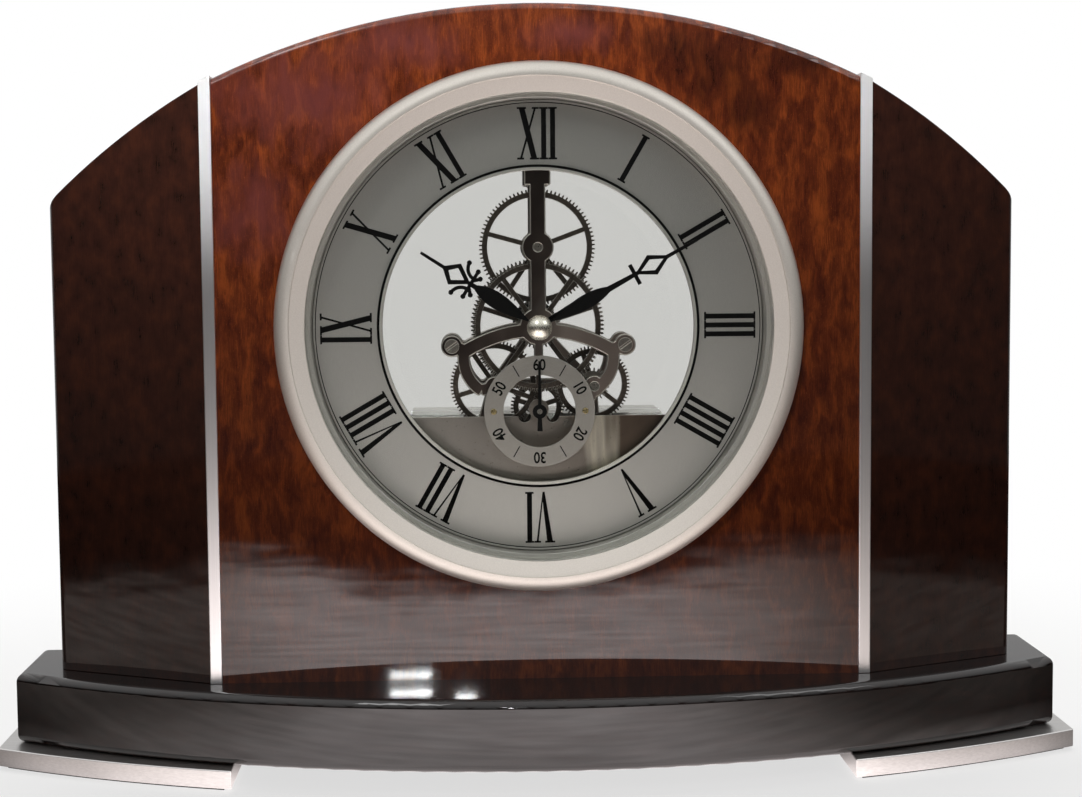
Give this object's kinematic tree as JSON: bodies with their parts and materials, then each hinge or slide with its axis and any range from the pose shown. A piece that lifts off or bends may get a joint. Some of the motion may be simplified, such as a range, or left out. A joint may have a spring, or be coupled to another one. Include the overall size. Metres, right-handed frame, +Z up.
{
  "type": "quartz desk clock",
  "caption": "Desk clock with an arched wooden case, swept wings and metal feet, whose round insert shows an open skeleton gear train behind a ring dial with leaf hands.",
  "frame": {"origin": "on the table, under the middle of the bounding box", "axes": "+X to the right seen from the front, +Y to the back, +Z up; the dial faces -Y"},
  "size_m": [0.263, 0.066, 0.1818],
  "materials": {
    "mahogany_lacquer": "clear gloss lacquer over red brown veneer",
    "dark_lacquer": "clear gloss lacquer over dark stained veneer",
    "brushed_foot": "straight brushed",
    "bright_strip": "polished flat",
    "felt_pad": "dark felt",
    "case_screw": "plain",
    "bezel_satin": "satin band with a bright sloping inner band",
    "glass": "clear",
    "spacer": "moulded, silver painted",
    "shell": "lacquered",
    "grip_rubber": "moulded",
    "clear_cover": "clear moulded plastic",
    "dial_silver": "fine straight brushed, lacquered",
    "rim_bright": "polished",
    "seconds_silver": "satin",
    "rivet": "turned",
    "plate_dark": "black nickel plate with polished edges",
    "train_bright": "turned, nickel plated",
    "wheel_dark": "black nickel plate",
    "hand_black": "satin black",
    "nut_bright": "polished dome",
    "black_plastic": "moulded",
    "drive_plate": "smooth moulded face",
    "drive_plastic": "spark textured moulding",
    "gear_plastic": "natural acetal",
    "magnet": "ground ferrite",
    "stator_iron": "stamped soft iron",
    "copper_wire": "enamelled wire",
    "board_green": "solder mask",
    "battery_jacket": "printed jacket, plain",
    "contact_metal": "nickel plated spring"
  },
  "bodies": {
    "case": {"base": "dark_lacquer", "left_foot": "brushed_foot", "right_foot": "brushed_foot", "foot_pads": "felt_pad", "foot_screws": "case_screw", "base_screws": "case_screw", "centre_panel": "mahogany_lacquer", "left_wing": "dark_lacquer", "right_wing": "dark_lacquer", "left_strip": "bright_strip", "right_strip": "bright_strip", "bezel": "bezel_satin", "lens": "glass", "lens_ring": "spacer", "insert_shell": "shell", "grip_ring": "grip_rubber", "rear_cover": "clear_cover", "dial": "dial_silver", "window_rim": "rim_bright", "seconds_dial": "seconds_silver", "seconds_dial_pins": "rivet", "front_plate": "plate_dark", "back_plate": "plate_dark", "pillars": "train_bright", "plate_screws": "train_bright", "drive_cover": "drive_plate", "cover_posts": "train_bright", "drive_case": "drive_plastic", "battery_tray": "drive_plastic", "stator": "stator_iron", "coil": "copper_wire", "circuit_board": "board_green", "crystal": "contact_metal", "battery": "battery_jacket", "battery_contacts": "contact_metal"},
    "minute_group": {"centre_arbor": "train_bright", "cannon_pinion": "train_bright", "centre_wheel": "wheel_dark", "minute_hand": "hand_black", "hand_nut": "nut_bright", "set_knob": "black_plastic"},
    "hour_group": {"hour_pipe": "train_bright", "hour_wheel": "wheel_dark", "hour_hand": "hand_black"},
    "motion_group": {"minute_arbor": "train_bright", "minute_wheel": "wheel_dark"},
    "third_group": {"third_arbor": "train_bright", "third_wheel": "wheel_dark"},
    "idler_group": {"idler_arbor": "train_bright", "idler_wheel": "wheel_dark"},
    "seconds_group": {"seconds_arbor": "train_bright", "seconds_wheel": "wheel_dark", "seconds_hand": "hand_black"},
    "intermediate_group": {"intermediate_arbor": "train_bright", "intermediate_wheel": "gear_plastic"},
    "rotor_group": {"rotor": "magnet"},
    "door": {"battery_door": "drive_plastic"}
  },
  "joints": [
    {"name": "minute_turn", "type": "hinge", "parent": "case", "child": "minute_group", "pos_m": [0, 0, 0.106], "axis": [0, 1, 0], "continuous": true},
    {"name": "hour_turn", "type": "hinge", "parent": "case", "child": "hour_group", "pos_m": [0, 0, 0.106], "axis": [0, 1, 0], "continuous": true},
    {"name": "motion_turn", "type": "hinge", "parent": "case", "child": "motion_group", "pos_m": [0, 0, 0.1249], "axis": [0, 1, 0], "continuous": true},
    {"name": "third_turn", "type": "hinge", "parent": "case", "child": "third_group", "pos_m": [-0.0105, 0, 0.0916], "axis": [0, 1, 0], "continuous": true},
    {"name": "idler_turn", "type": "hinge", "parent": "case", "child": "idler_group", "pos_m": [0.0133, 0, 0.09156], "axis": [0, 1, 0], "continuous": true},
    {"name": "seconds_turn", "type": "hinge", "parent": "case", "child": "seconds_group", "pos_m": [0, 0, 0.086], "axis": [0, 1, 0], "continuous": true},
    {"name": "intermediate_turn", "type": "hinge", "parent": "case", "child": "intermediate_group", "pos_m": [0, 0, 0.07844], "axis": [0, 1, 0], "continuous": true},
    {"name": "rotor_turn", "type": "hinge", "parent": "case", "child": "rotor_group", "pos_m": [0.00476, 0, 0.07844], "axis": [0, 1, 0], "continuous": true},
    {"name": "door_slide", "type": "slide", "parent": "case", "child": "door", "axis": [1, 0, 0], "range_m": [0, 0.025]}
  ],
  "couplings": [
    {"joint": "hour_turn", "follows": "minute_turn", "ratio": 0.083333},
    {"joint": "motion_turn", "follows": "minute_turn", "ratio": -0.38095},
    {"joint": "third_turn", "follows": "minute_turn", "ratio": -8},
    {"joint": "idler_turn", "follows": "minute_turn", "ratio": -4.1739},
    {"joint": "seconds_turn", "follows": "minute_turn", "ratio": 60},
    {"joint": "intermediate_turn", "follows": "minute_turn", "ratio": -300},
    {"joint": "rotor_turn", "follows": "minute_turn", "ratio": 1800}
  ]
}
